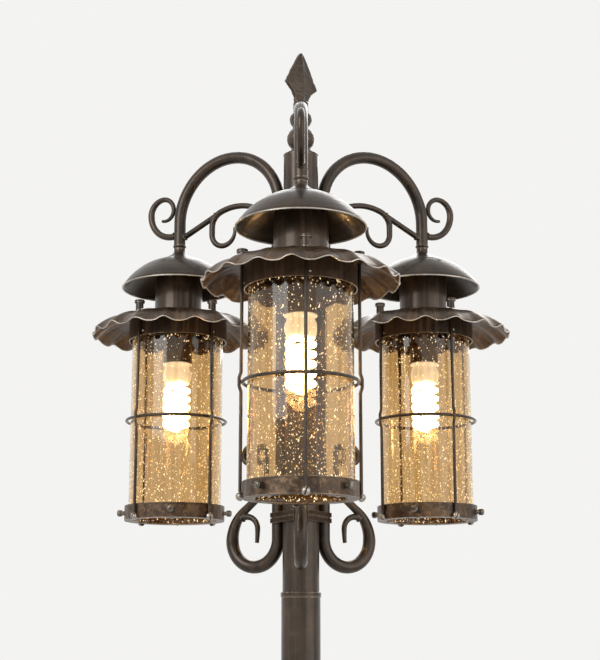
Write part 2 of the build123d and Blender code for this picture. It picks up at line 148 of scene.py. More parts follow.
def makeFloor():
    radius, steps = studio["floorRadius"], studio["floorSteps"]
    turns = [2 * pi * k / steps for k in range(steps)]
    mesh = bpy.data.meshes.new("floor")
    mesh.from_pydata([(radius * cos(turn), radius * sin(turn), studio["floorHeight"]) for turn in turns],
                     [], [tuple(range(steps))])
    floor = bpy.data.objects.new("floor", mesh)
    scene.collection.objects.link(floor)
    material, tree, shader = newMaterial("paleFloor")
    rays = addNode(tree, "ShaderNodeLightPath").outputs
    lift = doMath(tree, "MULTIPLY", rays["Is Camera Ray"], studio["floorLift"])
    setInputs(tree, shader, {"Base Color": studio["floorColour"], "Roughness": 0.8,
                             "Emission Color": studio["backdrop"], "Emission Strength": lift})
    # far away the floor goes over into the backdrop, so that no horizon shows
    away = addNode(tree, "ShaderNodeVectorMath", {0: objectVector(tree)}, operation="LENGTH")
    fade = addNode(tree, "ShaderNodeMapRange", {0: away.outputs["Value"], 1: studio["fadeFrom"],
                                                2: studio["fadeTo"]}, interpolation_type="SMOOTHSTEP")
    seenOnly = doMath(tree, "SUBTRACT", fade.outputs["Result"], rays["Is Diffuse Ray"], clamp=True)
    backdrop = addNode(tree, "ShaderNodeEmission", {"Color": studio["backdrop"]})
    surface = mixShaders(tree, seenOnly, shader.outputs[0], backdrop.outputs[0])
    setInputs(tree, tree.nodes["Material Output"], {"Surface": surface})
    mesh.materials.append(material)


def makeWorld():
    world = bpy.data.worlds.new("studio")
    scene.world = world
    world.use_nodes = True
    tree = world.node_tree
    tree.nodes.clear()
    soft = addNode(tree, "ShaderNodeBackground", {"Color": studio["soft"],
                                                  "Strength": studio["softStrength"]})
    seen = addNode(tree, "ShaderNodeBackground", {"Color": studio["backdrop"], "Strength": 1.0})
    rays = addNode(tree, "ShaderNodeLightPath").outputs
    first = doMath(tree, "MAXIMUM", rays["Is Camera Ray"], rays["Is Glossy Ray"])
    either = doMath(tree, "MAXIMUM", first, rays["Is Transmission Ray"])
    surface = mixShaders(tree, either, soft.outputs[0], seen.outputs[0])
    addNode(tree, "ShaderNodeOutputWorld", {"Surface": surface})


def makeLamps():
    for name, spot, size, power in studio["lamps"]:
        data = bpy.data.lights.new(name, "AREA")
        data.size, data.energy = size, power
        lamp = bpy.data.objects.new(name, data)
        lamp.visible_transmission = False  # not seen as a bright patch behind the glass
        lamp.location = spot
        lamp.rotation_euler = (Vector(studio["aim"]) - Vector(spot)).to_track_quat("-Z", "Y").to_euler()
        scene.collection.objects.link(lamp)


makeFloor()
makeWorld()
makeLamps()
print("stage and camera ready")


# an input's kind follows from its value: a number, a vector, a colour, or the kind's own name
def addInputs(tree, inputs):
    kinds = {float: "Float", int: "Int"}
    sockets = {}
    for label, value in inputs.items():
        named = isinstance(value, str)
        kind = value if named else kinds.get(type(value)) or ("Color" if len(value) == 4 else "Vector")
        socket = tree.interface.new_socket(label, in_out="INPUT", socket_type=f"NodeSocket{kind}")
        if not named:
            socket.default_value = value
        sockets[label] = socket.identifier
    return sockets


# shader groups that several finishes share
def newShaderGroup(name, inputs, outputs):
    tree = bpy.data.node_groups.new(name, "ShaderNodeTree")
    addInputs(tree, inputs)
    for label, kind in outputs.items():
        tree.interface.new_socket(label, in_out="OUTPUT", socket_type=f"NodeSocket{kind}")
    start = tree.nodes.new("NodeGroupInput")
    end = tree.nodes.new("NodeGroupOutput")
    return tree, start, end


def makePatina():
    tree, start, end = newShaderGroup("patina", {
        "Vector": "Vector", "Dark": (0.03, 0.025, 0.02, 1), "Warm": (0.10, 0.07, 0.045, 1),
        "Bloom": (0.2, 0.17, 0.13, 1), "Blotch Scale": 18.0, "Streaks": 0.5, "Grain": (160.0, 160.0, 9.0),
        "Mottle Scale": 38.0, "Mottle": 0.45,
    }, {"Color": "Color", "Roughness": "Float", "Height": "Float"})
    plus, times = mathOf(tree, "ADD", "MULTIPLY")
    spot = start.outputs
    blotch = noiseOf(tree, spot["Vector"], spot["Blotch Scale"], 6, 0.6, 0.4)
    streak = noiseOf(tree, stretched(tree, spot["Vector"], spot["Grain"]), 1.0, 4, 0.6, 0.2)
    grain = noiseOf(tree, spot["Vector"], 620.0, 3, 0.6)
    cloud = noiseOf(tree, spot["Vector"], spot["Mottle Scale"], 5, 0.6, 0.6)
    base = mixColour(tree, remap(tree, blotch, 0.34, 0.68), spot["Dark"], spot["Warm"])
    line = times(remap(tree, streak, 0.48, 0.76), spot["Streaks"], clamp=True)
    base = mixColour(tree, line, base, spot["Bloom"])
    base = mixColour(tree, times(remap(tree, cloud, 0.52, 0.72), spot["Mottle"]), base, spot["Bloom"])
    base = mixColour(tree, remap(tree, grain, 0.35, 0.6, 0.22, 0.0), base, spot["Dark"])
    rough = plus(remap(tree, cloud, 0.3, 0.7, 0.30, 0.46), remap(tree, streak, 0.3, 0.7, -0.05, 0.07))
    height = plus(times(grain, 0.25), times(streak, 0.5))
    height = plus(height, times(cloud, spot["Mottle"]))
    setInputs(tree, end, {"Color": base, "Roughness": rough, "Height": height})
    return tree


def makeEdgeWearAndHighlight():
    tree, start, end = newShaderGroup("edgeWearAndHighlight", {"Vector": "Vector", "Radius": 0.0012, "Amount": 1.0},
                                      {"Mask": "Float"})
    times = partial(doMath, tree, "MULTIPLY")
    rounded = addNode(tree, "ShaderNodeBevel", {"Radius": start.outputs["Radius"]}, samples=4)
    flat = addNode(tree, "ShaderNodeNewGeometry")
    dot = addNode(tree, "ShaderNodeVectorMath", {0: rounded.outputs[0], 1: flat.outputs["Normal"]},
                  operation="DOT_PRODUCT")
    # the edge mask is partly real wear and partly a painted highlight: edges and rims are painted bright where
    # they would catch the light
    edge = remap(tree, dot.outputs["Value"], 0.995, 0.89)
    broken = remap(tree, noiseOf(tree, start.outputs["Vector"], 140.0, 4, 0.7), 0.30, 0.52)
    setInputs(tree, end, {"Mask": times(times(edge, broken), start.outputs["Amount"], clamp=True)})
    return tree


def makeHammer():
    tree, start, end = newShaderGroup("hammerMarks", {"Vector": "Vector", "Scale": 60.0, "Depth": 1.0},
                                      {"Height": "Float"})
    plus, times = mathOf(tree, "ADD", "MULTIPLY")
    spot = start.outputs
    warp = noiseOf(tree, spot["Vector"], 30.0, 2, 0.5)
    moved = addNode(tree, "ShaderNodeVectorMath", {0: warp, 1: (0.02, 0.02, 0.02), 2: spot["Vector"]},
                    operation="MULTIPLY_ADD")
    dents = addNode(tree, "ShaderNodeTexVoronoi", {"Smoothness": 0.6, "Scale": spot["Scale"],
                                                   "Vector": moved.outputs[0]}, feature="SMOOTH_F1")
    soft = noiseOf(tree, spot["Vector"], 90.0, 3, 0.5)
    height = plus(dents.outputs["Distance"], times(soft, 0.4))
    setInputs(tree, end, {"Height": times(height, spot["Depth"])})
    return tree


def makeDust():
    tree, start, end = newShaderGroup("settledDust", {"Vector": "Vector", "Amount": 0.4}, {"Mask": "Float"})
    times = partial(doMath, tree, "MULTIPLY")
    flat = addNode(tree, "ShaderNodeNewGeometry")
    parts = addNode(tree, "ShaderNodeSeparateXYZ", {0: flat.outputs["Normal"]})
    up = remap(tree, parts.outputs["Z"], 0.35, 0.95)
    thin = remap(tree, noiseOf(tree, start.outputs["Vector"], 34.0, 6, 0.7), 0.38, 0.66)
    setInputs(tree, end, {"Mask": times(times(up, thin), start.outputs["Amount"], clamp=True)})
    return tree


patina, edgeWearAndHighlight, hammerMarks, settledDust = makePatina(), makeEdgeWearAndHighlight(), makeHammer(), makeDust()


def place(tree, group, vector, **values):
    inputs = {key.replace("_", " "): value for key, value in values.items()}
    return addNode(tree, "ShaderNodeGroup", dict(inputs, Vector=vector), node_tree=group)


def makeMetal(name, look, track=None, trackScale=None):
    material, tree, shader = newMaterial(name)
    plus, minus, times = mathOf(tree, "ADD", "SUBTRACT", "MULTIPLY")
    vector = objectVector(tree)
    skin = place(tree, patina, vector, Dark=look["dark"], Warm=look["warm"], Bloom=look["bloom"],
                 Blotch_Scale=look["blotch"], Streaks=look["streaks"], Grain=look["grain"],
                 Mottle_Scale=look["mottleScale"], Mottle=look["mottle"])
    wornAndLitEdge = place(tree, edgeWearAndHighlight, vector, Radius=look["edgeRadius"], Amount=look["edge"])
    dust = place(tree, settledDust, vector, Amount=look["dust"])
    marks = place(tree, hammerMarks, vector, Scale=look["hammerScale"], Depth=look["hammer"])
    # edges take the bare colour: partly real wear, partly a painted edge highlight
    colour = mixColour(tree, wornAndLitEdge.outputs["Mask"], skin.outputs["Color"], look["bareAndHighlight"])
    colour = mixColour(tree, dust.outputs["Mask"], colour, look["dustColour"])
    rough = plus(skin.outputs["Roughness"], look["roughShift"])
    rough = minus(rough, times(wornAndLitEdge.outputs["Mask"], 0.12))
    rough = plus(rough, times(dust.outputs["Mask"], 0.4), clamp=True)
    height = plus(times(skin.outputs["Height"], 0.25), marks.outputs["Height"])
    if track:  # creases and rubbed lines that follow the piece's own attribute
        path = addNode(tree, "ShaderNodeAttribute", attribute_name=track)
        crease = noiseOf(tree, stretched(tree, path.outputs["Vector"], trackScale), 1.0, 4, 0.62, 0.15)
        colour = mixColour(tree, remap(tree, crease, 0.52, 0.74, 0.0, 0.55), colour, look["bloom"])
        height = plus(height, times(crease, 1.6))
    bump = addNode(tree, "ShaderNodeBump", {"Strength": 0.6, "Distance": look["depth"], "Height": height})
    setInputs(tree, shader, {"Base Color": colour, "Roughness": rough, "Normal": bump.outputs[0],
                             "Metallic": look["metallic"], "Coat Weight": look["wax"], "Coat Roughness": 0.16})
    return material


bronzeLook = {
    "dark": (0.021, 0.0140, 0.0092, 1), "warm": (0.055, 0.035, 0.021, 1), "bloom": (0.128, 0.086, 0.052, 1),
    "bareAndHighlight": (0.52, 0.40, 0.28, 1), "dustColour": (0.105, 0.080, 0.056, 1), "blotch": 11.0, "streaks": 0.40,
    "grain": (150.0, 150.0, 7.0), "edgeRadius": 0.0013, "edge": 0.9, "dust": 0.22, "hammerScale": 60.0,
    "hammer": 0.22, "depth": 0.0008, "roughShift": -0.03, "metallic": 0.72,
    "mottleScale": 38.0, "mottle": 0.35, "wax": 0.35,
}
spunLook = dict(bronzeLook, grain=(9.0, 9.0, 420.0), streaks=0.35, hammer=0.14, edgeRadius=0.0024,
                dust=0.3)
rustLook = dict(bronzeLook, dark=(0.029, 0.0175, 0.0105, 1), warm=(0.080, 0.045, 0.024, 1),
                bloom=(0.178, 0.110, 0.064, 1), blotch=13.0, streaks=0.6, metallic=0.6, roughShift=0.03,
                hammer=0.4)
bandLook = dict(rustLook, bloom=(0.27, 0.170, 0.094, 1), wax=0.12, blotch=30.0, grain=(40.0, 40.0, 40.0),
                hammer=0.9, hammerScale=90.0, depth=0.0016, mottleScale=130.0, mottle=0.85)
crownLook = dict(rustLook, warm=(0.105, 0.060, 0.031, 1), bloom=(0.25, 0.155, 0.084, 1), wax=0.15,
                 mottleScale=60.0, mottle=0.4, hammer=0.55, metallic=0.7, roughShift=-0.05, dust=0.3,
                 edge=0.6)
forgedLook = dict(bronzeLook, hammerScale=75.0, hammer=0.55, depth=0.0011, streaks=0.3,
                  grain=(60.0, 60.0, 16.0))
roughLook = dict(forgedLook, hammerScale=120.0, hammer=1.0, depth=0.0016, dark=(0.028, 0.0185, 0.0120, 1),
                 warm=(0.076, 0.049, 0.029, 1), edgeRadius=0.0018)
steelLook = dict(bronzeLook, dark=(0.24, 0.21, 0.18, 1), warm=(0.50, 0.45, 0.39, 1),
                 bloom=(0.68, 0.62, 0.54, 1), bareAndHighlight=(0.75, 0.70, 0.62, 1), blotch=120.0, streaks=0.2,
                 metallic=0.92, roughShift=-0.10, dust=0.1)
wornLook = dict(steelLook, dark=(0.022, 0.017, 0.013, 1), warm=(0.10, 0.08, 0.06, 1),
                bloom=(0.62, 0.55, 0.46, 1), blotch=260.0, streaks=0.5, metallic=0.85)
# the hems' bright, steel-like colour is a painted highlight along the rims
hemHighlightLook = dict(steelLook, warm=(0.52, 0.47, 0.41, 1), bloom=(0.72, 0.66, 0.58, 1), blotch=45.0,
               roughShift=-0.06)
darkBronze = makeMetal("darkBronze", bronzeLook)
spunBronze = makeMetal("spunBronze", spunLook)
rustBronze = makeMetal("rustBronze", rustLook)
bandBronze = makeMetal("bandBronze", bandLook)
crownBronze = makeMetal("crownBronze", crownLook, "alongFlute", (9.0, 9.0, 4.0))
forgedBronze = makeMetal("forgedBronze", forgedLook)
hammeredBronze = makeMetal("hammeredBronze", roughLook)
brightSteel = makeMetal("brightSteel", steelLook)
wornSteel = makeMetal("wornSteel", wornLook)
hemPaintedHighlight = makeMetal("hemPaintedHighlight", hemHighlightLook)


# soft clouds of two colours; the noise itself comes too, for what else it steers
def cloudTone(tree, vector, scale, detail, rough, low, high, first, second):
    cloud = noiseOf(tree, vector, scale, detail, rough)
    return cloud, mixColour(tree, remap(tree, cloud, low, high), first, second)


def makeEnamel():
    material, tree, shader = newMaterial("darkEnamel")
    vector = objectVector(tree)
    wornAndLitEdge = place(tree, edgeWearAndHighlight, vector, Radius=0.0015, Amount=0.5)
    cloud, colour = cloudTone(tree, vector, 60.0, 4, 0.6, 0.35, 0.65, (0.050, 0.030, 0.017, 1),
                              (0.105, 0.064, 0.036, 1))
    # lighter edges: partly wear, partly a painted edge highlight
    colour = mixColour(tree, wornAndLitEdge.outputs["Mask"], colour, (0.22, 0.18, 0.14, 1))
    setInputs(tree, shader, {"Base Color": colour, "Roughness": remap(tree, cloud, 0.3, 0.7, 0.28, 0.42),
                             "Coat Weight": 0.25})
    return material


def makeWhitePlastic():
    material, tree, shader = newMaterial("whitePlasticPaintedGlow")
    cloud, colour = cloudTone(tree, objectVector(tree), 90.0, 4, 0.6, 0.3, 0.7, (0.86, 0.82, 0.76, 1),
                              (0.91, 0.88, 0.83, 1))
    # the faint blue-white emission is a painted glow: the housing is no lamp
    setInputs(tree, shader, {"Base Color": colour, "Roughness": remap(tree, cloud, 0.3, 0.7, 0.32, 0.45),
                             "Emission Color": (0.93, 0.96, 1.0, 1), "Emission Strength": 0.7})
    return material


def makeLampGlass():
    material, tree, shader = newMaterial("lampGlass")
    glow = cloudTone(tree, objectVector(tree), 40.0, 3, 0.5, 0.3, 0.7, (1.0, 0.74, 0.42, 1),
                     (1.0, 0.83, 0.56, 1))[1]
    setInputs(tree, shader, {"Base Color": (0.9, 0.86, 0.78, 1), "Roughness": 0.25, "Emission Color": glow,
                             "Emission Strength": 15.0})
    return material


def makeSeededGlass():
    material, tree, shader = newMaterial("seededGlass")
    ripple = noiseOf(tree, stretched(tree, objectVector(tree), (150, 150, 6)), 1.0, 2, 0.5, 0.2)
    bump = addNode(tree, "ShaderNodeBump", {"Strength": 0.15, "Distance": 0.0006, "Height": ripple})
    tone = mixColour(tree, remap(tree, ripple, 0.30, 0.66), (0.66, 0.47, 0.25, 1), (0.84, 0.68, 0.45, 1))
    setInputs(tree, shader, {"Base Color": tone, "Normal": bump.outputs[0], "Roughness": 0.03,
                             "Specular IOR Level": 0.22, "IOR": 1.47, "Transmission Weight": 1.0})
    # the lamp's light passes the wall straight on, only tinted
    rays = addNode(tree, "ShaderNodeLightPath")
    clear = addNode(tree, "ShaderNodeBsdfTransparent", {"Color": (0.95, 0.86, 0.68, 1)})
    surface = mixShaders(tree, rays.outputs["Is Shadow Ray"], shader.outputs[0], clear.outputs[0])
    setInputs(tree, tree.nodes["Material Output"], {"Surface": surface})
    return material


def makeSeedPaintedGlint():
    material, tree, shader = newMaterial("seedBubblesPaintedGlint")
    # the emission and the bright cream end of the tone are painted glints where the bubbles catch light; the
    # deep amber end is their own tint
    tone = cloudTone(tree, objectVector(tree), 260.0, 2, 0.5, 0.30, 0.42, (0.30, 0.16, 0.06, 1),
                     (1.0, 0.90, 0.66, 1))[1]
    setInputs(tree, shader, {"Base Color": tone, "Emission Color": tone, "Emission Strength": 1.3,
                             "Roughness": 0.15})
    return material


darkEnamel, whitePlasticPaintedGlow, lampGlass = makeEnamel(), makeWhitePlastic(), makeLampGlass()
seededGlass, seedBubblesPaintedGlint = makeSeededGlass(), makeSeedPaintedGlint()
print("finishes mixed")


# each CAD node listed here gets a finish, also where a piece takes its place further on
nodeFinish = {
    "base_flange": darkBronze, "lower_pole": darkBronze, "upper_post": darkBronze, "finial": hammeredBronze,
    "collar_lower": forgedBronze, "collar_upper": forgedBronze,
}
for name in lanterns:
    nodeFinish.update({
        f"arm_{name}": forgedBronze, f"outer_curl_{name}": forgedBronze, f"brace_{name}": forgedBronze,
        f"hood_{name}": spunBronze, f"crown_nuts_{name}": forgedBronze, f"chimney_{name}": rustBronze,
        f"drum_{name}": rustBronze, f"cage_{name}": darkBronze, f"bottom_band_{name}": bandBronze,
        f"lampholder_{name}": darkEnamel,
    })
    for number in range(1, 5):
        nodeFinish[f"glass_screw_{number}_{name}"] = wornSteel
for label, finish in nodeFinish.items():
    slots = nodes[label].data.materials
    if len(slots) == 0:
        slots.append(finish)
    for index in range(len(slots)):
        slots[index] = finish


def finishPiece(mesh, name, body, finish, stands=()):
    piece = bpy.data.objects.new(name, mesh)
    scene.collection.objects.link(piece)
    mesh.materials.clear()
    mesh.materials.append(finish)
    for face in mesh.polygons:
        face.use_smooth = True
    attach(piece, body)
    if stands:
        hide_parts(*stands)
    return piece


def dressLantern(name, label, mesh, finish, slotName, *stands):
    return finishPiece(mesh, f"{label}_{name}", f"lantern_{name}", finish,
                       [f"{stand}_{name}" for stand in stands])


tiny = 1e-6  # points closer than this are one


def meshFrom(form, name, matrix=None):
    bmesh.ops.remove_doubles(form, verts=form.verts, dist=tiny)
    bmesh.ops.recalc_face_normals(form, faces=form.faces)
    mesh = bpy.data.meshes.new(name)
    form.to_mesh(mesh)
    form.free()
    if matrix is not None:
        mesh.transform(matrix)
    return mesh


def ringsToFaces(form, rings, closedAlong=False):
    pairs = list(zip(rings, rings[1:]))
    if closedAlong:
        pairs.append((rings[-1], rings[0]))
    for low, high in pairs:
        count = max(len(low), len(high))
        for index in range(count):
            after = (index + 1) % count
            if len(low) == 1:
                form.faces.new((low[0], high[after], high[index]))
            elif len(high) == 1:
                form.faces.new((low[index], low[after], high[0]))
            else:
                form.faces.new((low[index], low[after], high[after], high[index]))


def turnedRings(form, profile, steps, wobble=None):
    rings = []
    for radius, height in profile:
        if radius < tiny:
            rings.append([form.verts.new((0, 0, height))])
            continue
        ring = []
        for index in range(steps):
            angle = 2 * pi * index / steps
            reach = radius + (wobble(angle, radius, height) if wobble else 0.0)
            ring.append(form.verts.new((reach * cos(angle), reach * sin(angle), height)))
        rings.append(ring)
    return rings


def lathe(name, profile, steps=96, closed=True, wobble=None, matrix=None):
    form = bmesh.new()
    ringsToFaces(form, turnedRings(form, profile, steps, wobble), closed)
    return meshFrom(form, name, matrix)


def tubeAlong(form, points, radiusAt, sides=14, closed=False):
    rings = []
    side = None
    last = len(points) - 1
    for index, point in enumerate(points):
        before, after = points[max(index - 1, 0)], points[min(index + 1, last)]
        if closed:
            before, after = points[(index - 1) % last], points[(index + 1) % last]
        heading = (after - before).normalized()
        if side is None or closed:
            side = Vector((0, 0, 1)) if closed else heading.orthogonal().normalized()
        side = (side - heading * side.dot(heading)).normalized()
        up = heading.cross(side)
        radius = radiusAt(index / last)
        turns = [2 * pi * k / sides for k in range(sides)]
        rings.append([form.verts.new(point + (side * cos(turn) + up * sin(turn)) * radius) for turn in turns])
    if closed:
        ringsToFaces(form, rings[:-1], closedAlong=True)
        return
    ringsToFaces(form, rings)
    for ring in (rings[0], rings[-1]):
        form.faces.new(ring)


def newGeometryTree(name, inputs):
    tree = bpy.data.node_groups.new(name, "GeometryNodeTree")
    tree.interface.new_socket("Geometry", in_out="INPUT", socket_type="NodeSocketGeometry")
    sockets = addInputs(tree, inputs)
    tree.interface.new_socket("Geometry", in_out="OUTPUT", socket_type="NodeSocketGeometry")
    start = tree.nodes.new("NodeGroupInput")
    end = tree.nodes.new("NodeGroupOutput")
    return tree, sockets, start, end


def grow(tree, sockets, values, name, matrix=None):
    holder = bpy.data.objects.new(name + "Maker", bpy.data.meshes.new(name + "Maker"))
    scene.collection.objects.link(holder)
    modifier = holder.modifiers.new("nodes", "NODES")
    modifier.node_group = tree
    for label, value in values.items():
        modifier[sockets[label]] = value
    bpy.context.view_layer.update()
    graph = bpy.context.evaluated_depsgraph_get()
    mesh = bpy.data.meshes.new_from_object(holder.evaluated_get(graph))
    mesh.name = name
    holder.modifiers.remove(modifier)
    bpy.data.objects.remove(holder)
    if matrix is not None:
        mesh.transform(matrix)
    return mesh


def closeTree(tree, geometry, material, end):
    real = addNode(tree, "GeometryNodeRealizeInstances", {0: geometry})
    paint = addNode(tree, "GeometryNodeSetMaterial", {"Geometry": real.outputs[0], "Material": material})
    setInputs(tree, end, {0: paint.outputs[0]})


# crown: a ruffled skirt on a dished top, its waves a little uneven; crownShape holds its node tree's inputs
crownShape = {
    "Bore": 0.0403, "Bore Height": 0.3505, "Shoulder": 0.097, "Shoulder Height": 0.3378, "Rim": 0.1425,
    "Rim Height": 0.3106, "Dish": 0.0040, "Round": 0.0050, "Waves": 18, "Depth": 0.0039, "Around": 360,
    "Across": 36,
}
crownWave = {"roam": 1.7, "shift": 2.6, "sizeRoam": 2.6, "sizeSeed": 40.0, "pinch": 0.16, "least": 0.45,
             "vary": 1.1, "start": 0.42, "power": 1.3, "lift": 0.85, "out": 0.30}
crownSheet = {"thick": 0.0016, "hem": 0.00095}


def makeCrownTree():
    tree, sockets, start, end = newGeometryTree("flutedCrown", dict(crownShape, Seed=0.0, Material="Material"))
    plus, minus, times, over = mathOf(tree, "ADD", "SUBTRACT", "MULTIPLY", "DIVIDE")
    power, cosOf, sinOf = mathOf(tree, "POWER", "COSINE", "SINE")
    spot, waves = start.outputs, crownWave
    grid = addNode(tree, "GeometryNodeMeshGrid", {"Size X": 1.0, "Size Y": 1.0, "Vertices X": spot["Around"],
                                                  "Vertices Y": spot["Across"]})
    here = addNode(tree, "GeometryNodeInputPosition")
    parts = addNode(tree, "ShaderNodeSeparateXYZ", {0: here.outputs[0]})
    angle = times(plus(parts.outputs["X"], 0.5), 2 * pi)
    across = plus(parts.outputs["Y"], 0.5)
    inner = over(across, 0.5, clamp=True)  # the share of the dished top, then that of the skirt
    outer = over(minus(across, 0.5), 0.5, clamp=True)
    cosine, sine = cosOf(angle), sinOf(angle)

    def sweep(bore, shoulder, rim):
        return plus(plus(bore, times(inner, minus(shoulder, bore))), times(outer, minus(rim, shoulder)))

    # uneven waves: noise on a circle shifts and scales them, so the seam closes
    def noiseRound(roam, seed, detail):
        where = combine(tree, times(cosine, roam), times(sine, roam), seed)
        return addNode(tree, "ShaderNodeTexNoise", {"Vector": where, "Scale": 1.0, "Detail": detail}).outputs[0]

    radius = sweep(spot["Bore"], spot["Shoulder"], spot["Rim"])
    height = sweep(spot["Bore Height"], spot["Shoulder Height"], spot["Rim Height"])
    height = plus(height, times(times(inner, minus(1.0, inner)), spot["Dish"]))
    height = plus(height, times(times(outer, minus(1.0, outer)), times(spot["Round"], 4.0)))
    uneven = noiseRound(waves["roam"], spot["Seed"], 2.0)
    size = noiseRound(waves["sizeRoam"], plus(spot["Seed"], waves["sizeSeed"]), 1.0)
    turn = plus(times(angle, spot["Waves"]), times(minus(uneven, 0.5), waves["shift"]))
    # the valleys are pinched tighter than the ridges
    swing = plus(cosOf(turn), times(cosOf(times(turn, 2.0)), waves["pinch"]))
    strength = times(spot["Depth"], plus(waves["least"], times(size, waves["vary"])))
    grown = power(over(minus(across, waves["start"]), 1 - waves["start"], clamp=True), waves["power"])
    push = times(times(swing, strength), grown)
    # the waves stand square to the skirt
    height = plus(height, times(push, waves["lift"]))
    radius = plus(radius, times(push, waves["out"]))
    # the finish runs along the flutes, so it reads the turn round the axis and the distance from it
    track = addNode(tree, "GeometryNodeStoreNamedAttribute", {
        "Name": "alongFlute", "Geometry": grid.outputs["Mesh"], "Value": combine(tree, cosine, sine, radius),
    }, data_type="FLOAT_VECTOR", domain="POINT")
    where = combine(tree, times(radius, cosine), times(radius, sine), height)
    move = addNode(tree, "GeometryNodeSetPosition", {"Geometry": track.outputs[0], "Position": where})
    seam = addNode(tree, "GeometryNodeMergeByDistance", {"Geometry": move.outputs[0], "Distance": 0.00001})
    closeTree(tree, seam.outputs[0], spot["Material"], end)
    return tree, sockets


def makeHem(mesh, name):
    centre = lanternPlace(name).to_translation()
    form = bmesh.new()
    form.from_mesh(mesh)
    rim = [vertex.co.copy() for vertex in form.verts if vertex.is_boundary
           and (vertex.co - centre).to_2d().length > crownShape["Shoulder"]]
    form.free()
    rim.sort(key=lambda spot: atan2(spot.y - centre.y, spot.x - centre.x))
    drop = Vector((0, 0, -crownSheet["thick"] / 2))
    rim = [spot + drop for spot in rim]
    form = bmesh.new()
    tubeAlong(form, rim + rim[:1], lambda share: crownSheet["hem"], 8, closed=True)
    return meshFrom(form, f"crownHem_{name}")


crownTree, crownSockets = makeCrownTree()
for name, lantern in lanterns.items():
    inputs = dict(crownShape, Seed=float(lantern["seed"]), Material=crownBronze)
    mesh = grow(crownTree, crownSockets, inputs, f"flutedCrown_{name}")
    form = bmesh.new()
    form.from_mesh(mesh)
    skirt = meshFrom(form, mesh.name, lanternPlace(name))
    crown = dressLantern(name, "flutedCrown", skirt, crownBronze, "rust_bronze", "crown")
    wall = crown.modifiers.new("sheet", "SOLIDIFY")
    wall.thickness, wall.offset = crownSheet["thick"], -1
    # the hem along the crown's rim is painted bright as a highlight
    dressLantern(name, "crownHem", makeHem(crown.data, name), hemPaintedHighlight, "rust_bronze")
print("crowns fluted and hemmed")


# hood: a spun dome with a bell mouth at the neck and a rolled hem, painted bright as a highlight; the neck and
# the inside are the turner's profiles, in radius and height above the lantern's foot
hoodShape = {
    "middle": 0.3362, "sphere": 0.1118, "rim": 0.0952, "rimHeight": 0.3935, "sheet": 0.0015, "bore": 0.00505,
    "hem": 0.0014, "steps": 96, "hemSteps": 144, "domeFrom": 0.030, "innerTo": 0.0255, "rings": 26,
    "lip": 0.0006, "spinDepth": 0.0001, "spinWave": 900, "spinFrom": 0.02, "spinOver": 0.03,
    "spinAbove": 0.39, "hemDepth": 0.00018,
    "neck": ((0.0104, 0.4697), (0.0113, 0.4689), (0.0115, 0.4675), (0.0109, 0.4664), (0.0100, 0.4658),
             (0.0097, 0.4646), (0.0096, 0.4620), (0.0097, 0.4596), (0.0102, 0.4576), (0.0115, 0.4555),
             (0.0135, 0.4536), (0.0160, 0.4517), (0.0190, 0.4498), (0.0225, 0.4478), (0.0262, 0.4459)),
    "inside": ((0.0200, 0.4472), (0.0160, 0.4494), (0.0127, 0.4516), (0.0106, 0.4538), (0.0093, 0.4560),
               (0.0088, 0.4585), (0.0087, 0.4615), (0.0087, 0.4643), (0.00505, 0.4645)),
}


def domeHeight(radius, inset=0.0):
    return hoodShape["middle"] + sqrt((hoodShape["sphere"] - inset) ** 2 - radius ** 2)


def makeHood(name):
    shape = hoodShape
    rings, rim = shape["rings"], shape["rim"]
    outer = [shape["domeFrom"] + (rim - shape["domeFrom"]) * index / rings for index in range(rings + 1)]
    inner = [rim - shape["lip"] - (rim - shape["innerTo"]) * index / rings for index in range(rings + 1)]
    profile = [(shape["bore"], shape["neck"][0][1])] + list(shape["neck"])
    profile += [(radius, domeHeight(radius)) for radius in outer]
    profile += [(radius, domeHeight(radius, shape["sheet"])) for radius in inner]
    profile += list(shape["inside"])

    def spun(angle, radius, height):  # the faint steps that a spinning tool leaves on the dome
        share = min(1.0, max(0.0, (radius - shape["spinFrom"]) / shape["spinOver"]))
        return shape["spinDepth"] * sin(radius * shape["spinWave"]) * share * (height > shape["spinAbove"])

    return lathe(f"spunHood_{name}", profile, shape["steps"], True, spun, lanternPlace(name))


def makeHoodHem(name):
    shape = hoodShape
    form = bmesh.new()
    ring = []
    for index in range(shape["hemSteps"] + 1):
        angle = 2 * pi * index / shape["hemSteps"]
        out = Vector((cos(angle), sin(angle), 0))
        wave = Vector((0, 0, shape["rimHeight"] + shape["hemDepth"] * noise.noise(out * 3)))
        ring.append(out * shape["rim"] + wave)
    tubeAlong(form, ring, lambda share: shape["hem"], 12, closed=True)
    return meshFrom(form, f"hoodHem_{name}", lanternPlace(name))


for name in lanterns:
    dressLantern(name, "spunHood", makeHood(name), spunBronze, "dark_bronze", "hood")
    dressLantern(name, "hoodHem", makeHoodHem(name), hemPaintedHighlight, "dark_bronze")
print("hoods spun")


# glass cylinder with rounded, fire polished rims and faint ripples, its noise set round, along and through it
glassShape = {"outer": 0.0759, "wall": 0.0036, "bottom": 0.00185, "top": 0.3079, "rows": 30, "rimRows": 6,
              "steps": 120, "ripple": 0.00016, "around": 3.2, "along": 14, "through": 60}


